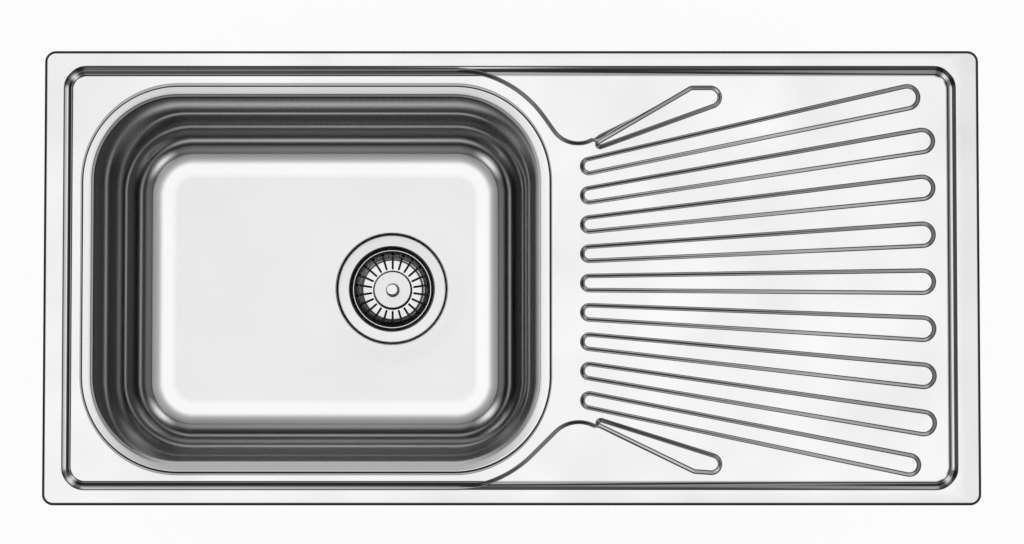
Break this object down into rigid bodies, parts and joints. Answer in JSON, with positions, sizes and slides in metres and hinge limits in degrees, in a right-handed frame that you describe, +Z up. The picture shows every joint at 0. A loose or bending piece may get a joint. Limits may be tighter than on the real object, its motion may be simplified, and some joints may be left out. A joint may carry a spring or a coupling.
{
  "type": "kitchen sink",
  "caption": "Inset stainless kitchen sink with one bowl on the left, a fan-ribbed drainboard on the right, a lift-out basket strainer and worktop clips.",
  "frame": {"origin": "middle of the sink's outline, on the worktop's surface", "axes": "+X from the bowl to the drainer, +Y to the back, +Z up"},
  "size_m": [0.94, 0.457, 0.3475],
  "materials": {
    "deck_steel": "polished pressed stainless sheet",
    "bowl_steel": "satin deep-drawn stainless sheet",
    "strainer_steel": "polished stainless",
    "zinc_steel": "zinc-plated",
    "black_rubber": "moulded rubber",
    "seal_foam": "closed-cell foam",
    "white_plastic": "moulded plastic",
    "fibre": "pressed fibre ring",
    "sound_pad": "self-adhesive deadening pad"
  },
  "bodies": {
    "root": {"drainer_deck": "deck_steel", "bowl": "bowl_steel", "bowl_sound_pad": "sound_pad", "drainer_sound_pad": "sound_pad", "strainer_body": "strainer_steel", "flange_seal": "black_rubber", "floor_gasket": "black_rubber", "friction_ring": "fibre", "lock_nut": "white_plastic", "tailpiece_washer": "white_plastic", "tailpiece": "strainer_steel", "coupling_nut": "white_plastic", "rim_seal_front": "seal_foam", "clip_rail_front": "zinc_steel", "rim_seal_right": "seal_foam", "clip_rail_right": "zinc_steel", "rim_seal_back": "seal_foam", "clip_rail_back": "zinc_steel", "rim_seal_left": "seal_foam", "clip_rail_left": "zinc_steel"},
    "basket": {"basket_cup": "strainer_steel", "basket_stopper": "black_rubber", "basket_stem": "strainer_steel", "basket_knob": "strainer_steel", "stem_nut": "zinc_steel"},
    "bolt_front_1": {"clip_bolt_front_1": "zinc_steel"},
    "washer_front_1": {"clip_washer_front_1": "zinc_steel"},
    "claw_front_1": {"clip_claw_front_1": "zinc_steel"},
    "nut_front_1": {"wing_nut_front_1": "zinc_steel"},
    "bolt_front_2": {"clip_bolt_front_2": "zinc_steel"},
    "washer_front_2": {"clip_washer_front_2": "zinc_steel"},
    "claw_front_2": {"clip_claw_front_2": "zinc_steel"},
    "nut_front_2": {"wing_nut_front_2": "zinc_steel"},
    "bolt_front_3": {"clip_bolt_front_3": "zinc_steel"},
    "washer_front_3": {"clip_washer_front_3": "zinc_steel"},
    "claw_front_3": {"clip_claw_front_3": "zinc_steel"},
    "nut_front_3": {"wing_nut_front_3": "zinc_steel"},
    "bolt_right": {"clip_bolt_right": "zinc_steel"},
    "washer_right": {"clip_washer_right": "zinc_steel"},
    "claw_right": {"clip_claw_right": "zinc_steel"},
    "nut_right": {"wing_nut_right": "zinc_steel"},
    "bolt_back_1": {"clip_bolt_back_1": "zinc_steel"},
    "washer_back_1": {"clip_washer_back_1": "zinc_steel"},
    "claw_back_1": {"clip_claw_back_1": "zinc_steel"},
    "nut_back_1": {"wing_nut_back_1": "zinc_steel"},
    "bolt_back_2": {"clip_bolt_back_2": "zinc_steel"},
    "washer_back_2": {"clip_washer_back_2": "zinc_steel"},
    "claw_back_2": {"clip_claw_back_2": "zinc_steel"},
    "nut_back_2": {"wing_nut_back_2": "zinc_steel"},
    "bolt_back_3": {"clip_bolt_back_3": "zinc_steel"},
    "washer_back_3": {"clip_washer_back_3": "zinc_steel"},
    "claw_back_3": {"clip_claw_back_3": "zinc_steel"},
    "nut_back_3": {"wing_nut_back_3": "zinc_steel"},
    "bolt_left": {"clip_bolt_left": "zinc_steel"},
    "washer_left": {"clip_washer_left": "zinc_steel"},
    "claw_left": {"clip_claw_left": "zinc_steel"},
    "nut_left": {"wing_nut_left": "zinc_steel"}
  },
  "joints": [
    {"name": "basket_lift", "type": "slide", "parent": "root", "child": "basket", "axis": [0, 0, 1], "range_m": [0, 0.24]},
    {"name": "bolt_slide_front_1", "type": "slide", "parent": "root", "child": "bolt_front_1", "axis": [1, 0, 0], "range_m": [-0.06, 0.06]},
    {"name": "clamp_front_1", "type": "slide", "parent": "bolt_front_1", "child": "washer_front_1", "axis": [0, 0, 1], "range_m": [0, 0.0121]},
    {"name": "claw_swing_front_1", "type": "hinge", "parent": "washer_front_1", "child": "claw_front_1", "pos_m": [-0.29, -0.2122, -0.05], "axis": [0, 0, 1], "range_deg": [0, 90]},
    {"name": "nut_spin_front_1", "type": "hinge", "parent": "washer_front_1", "child": "nut_front_1", "pos_m": [-0.29, -0.2122, -0.05], "axis": [0, 0, 1], "range_deg": [0, 5400]},
    {"name": "bolt_slide_front_2", "type": "slide", "parent": "root", "child": "bolt_front_2", "axis": [1, 0, 0], "range_m": [-0.06, 0.06]},
    {"name": "clamp_front_2", "type": "slide", "parent": "bolt_front_2", "child": "washer_front_2", "axis": [0, 0, 1], "range_m": [0, 0.0121]},
    {"name": "claw_swing_front_2", "type": "hinge", "parent": "washer_front_2", "child": "claw_front_2", "pos_m": [0, -0.2122, -0.05], "axis": [0, 0, 1], "range_deg": [0, 90]},
    {"name": "nut_spin_front_2", "type": "hinge", "parent": "washer_front_2", "child": "nut_front_2", "pos_m": [0, -0.2122, -0.05], "axis": [0, 0, 1], "range_deg": [0, 5400]},
    {"name": "bolt_slide_front_3", "type": "slide", "parent": "root", "child": "bolt_front_3", "axis": [1, 0, 0], "range_m": [-0.06, 0.06]},
    {"name": "clamp_front_3", "type": "slide", "parent": "bolt_front_3", "child": "washer_front_3", "axis": [0, 0, 1], "range_m": [0, 0.0121]},
    {"name": "claw_swing_front_3", "type": "hinge", "parent": "washer_front_3", "child": "claw_front_3", "pos_m": [0.29, -0.2122, -0.05], "axis": [0, 0, 1], "range_deg": [0, 90]},
    {"name": "nut_spin_front_3", "type": "hinge", "parent": "washer_front_3", "child": "nut_front_3", "pos_m": [0.29, -0.2122, -0.05], "axis": [0, 0, 1], "range_deg": [0, 5400]},
    {"name": "bolt_slide_right", "type": "slide", "parent": "root", "child": "bolt_right", "axis": [0, 1, 0], "range_m": [-0.1, 0.1]},
    {"name": "clamp_right", "type": "slide", "parent": "bolt_right", "child": "washer_right", "axis": [0, 0, 1], "range_m": [0, 0.0121]},
    {"name": "claw_swing_right", "type": "hinge", "parent": "washer_right", "child": "claw_right", "pos_m": [0.4537, 0, -0.05], "axis": [0, 0, 1], "range_deg": [0, 90]},
    {"name": "nut_spin_right", "type": "hinge", "parent": "washer_right", "child": "nut_right", "pos_m": [0.4537, 0, -0.05], "axis": [0, 0, 1], "range_deg": [0, 5400]},
    {"name": "bolt_slide_back_1", "type": "slide", "parent": "root", "child": "bolt_back_1", "axis": [1, 0, 0], "range_m": [-0.06, 0.06]},
    {"name": "clamp_back_1", "type": "slide", "parent": "bolt_back_1", "child": "washer_back_1", "axis": [0, 0, 1], "range_m": [0, 0.0121]},
    {"name": "claw_swing_back_1", "type": "hinge", "parent": "washer_back_1", "child": "claw_back_1", "pos_m": [0.29, 0.2122, -0.05], "axis": [0, 0, 1], "range_deg": [0, 90]},
    {"name": "nut_spin_back_1", "type": "hinge", "parent": "washer_back_1", "child": "nut_back_1", "pos_m": [0.29, 0.2122, -0.05], "axis": [0, 0, 1], "range_deg": [0, 5400]},
    {"name": "bolt_slide_back_2", "type": "slide", "parent": "root", "child": "bolt_back_2", "axis": [1, 0, 0], "range_m": [-0.06, 0.06]},
    {"name": "clamp_back_2", "type": "slide", "parent": "bolt_back_2", "child": "washer_back_2", "axis": [0, 0, 1], "range_m": [0, 0.0121]},
    {"name": "claw_swing_back_2", "type": "hinge", "parent": "washer_back_2", "child": "claw_back_2", "pos_m": [0, 0.2122, -0.05], "axis": [0, 0, 1], "range_deg": [0, 90]},
    {"name": "nut_spin_back_2", "type": "hinge", "parent": "washer_back_2", "child": "nut_back_2", "pos_m": [0, 0.2122, -0.05], "axis": [0, 0, 1], "range_deg": [0, 5400]},
    {"name": "bolt_slide_back_3", "type": "slide", "parent": "root", "child": "bolt_back_3", "axis": [1, 0, 0], "range_m": [-0.06, 0.06]},
    {"name": "clamp_back_3", "type": "slide", "parent": "bolt_back_3", "child": "washer_back_3", "axis": [0, 0, 1], "range_m": [0, 0.0121]},
    {"name": "claw_swing_back_3", "type": "hinge", "parent": "washer_back_3", "child": "claw_back_3", "pos_m": [-0.29, 0.2122, -0.05], "axis": [0, 0, 1], "range_deg": [0, 90]},
    {"name": "nut_spin_back_3", "type": "hinge", "parent": "washer_back_3", "child": "nut_back_3", "pos_m": [-0.29, 0.2122, -0.05], "axis": [0, 0, 1], "range_deg": [0, 5400]},
    {"name": "bolt_slide_left", "type": "slide", "parent": "root", "child": "bolt_left", "axis": [0, 1, 0], "range_m": [-0.1, 0.1]},
    {"name": "clamp_left", "type": "slide", "parent": "bolt_left", "child": "washer_left", "axis": [0, 0, 1], "range_m": [0, 0.0121]},
    {"name": "claw_swing_left", "type": "hinge", "parent": "washer_left", "child": "claw_left", "pos_m": [-0.4537, 0, -0.05], "axis": [0, 0, 1], "range_deg": [0, 90]},
    {"name": "nut_spin_left", "type": "hinge", "parent": "washer_left", "child": "nut_left", "pos_m": [-0.4537, 0, -0.05], "axis": [0, 0, 1], "range_deg": [0, 5400]}
  ],
  "couplings": [
    {"joint": "clamp_front_1", "follows": "nut_spin_front_1", "m_per_rad": 0.00012732},
    {"joint": "clamp_front_2", "follows": "nut_spin_front_2", "m_per_rad": 0.00012732},
    {"joint": "clamp_front_3", "follows": "nut_spin_front_3", "m_per_rad": 0.00012732},
    {"joint": "clamp_right", "follows": "nut_spin_right", "m_per_rad": 0.00012732},
    {"joint": "clamp_back_1", "follows": "nut_spin_back_1", "m_per_rad": 0.00012732},
    {"joint": "clamp_back_2", "follows": "nut_spin_back_2", "m_per_rad": 0.00012732},
    {"joint": "clamp_back_3", "follows": "nut_spin_back_3", "m_per_rad": 0.00012732},
    {"joint": "clamp_left", "follows": "nut_spin_left", "m_per_rad": 0.00012732}
  ]
}
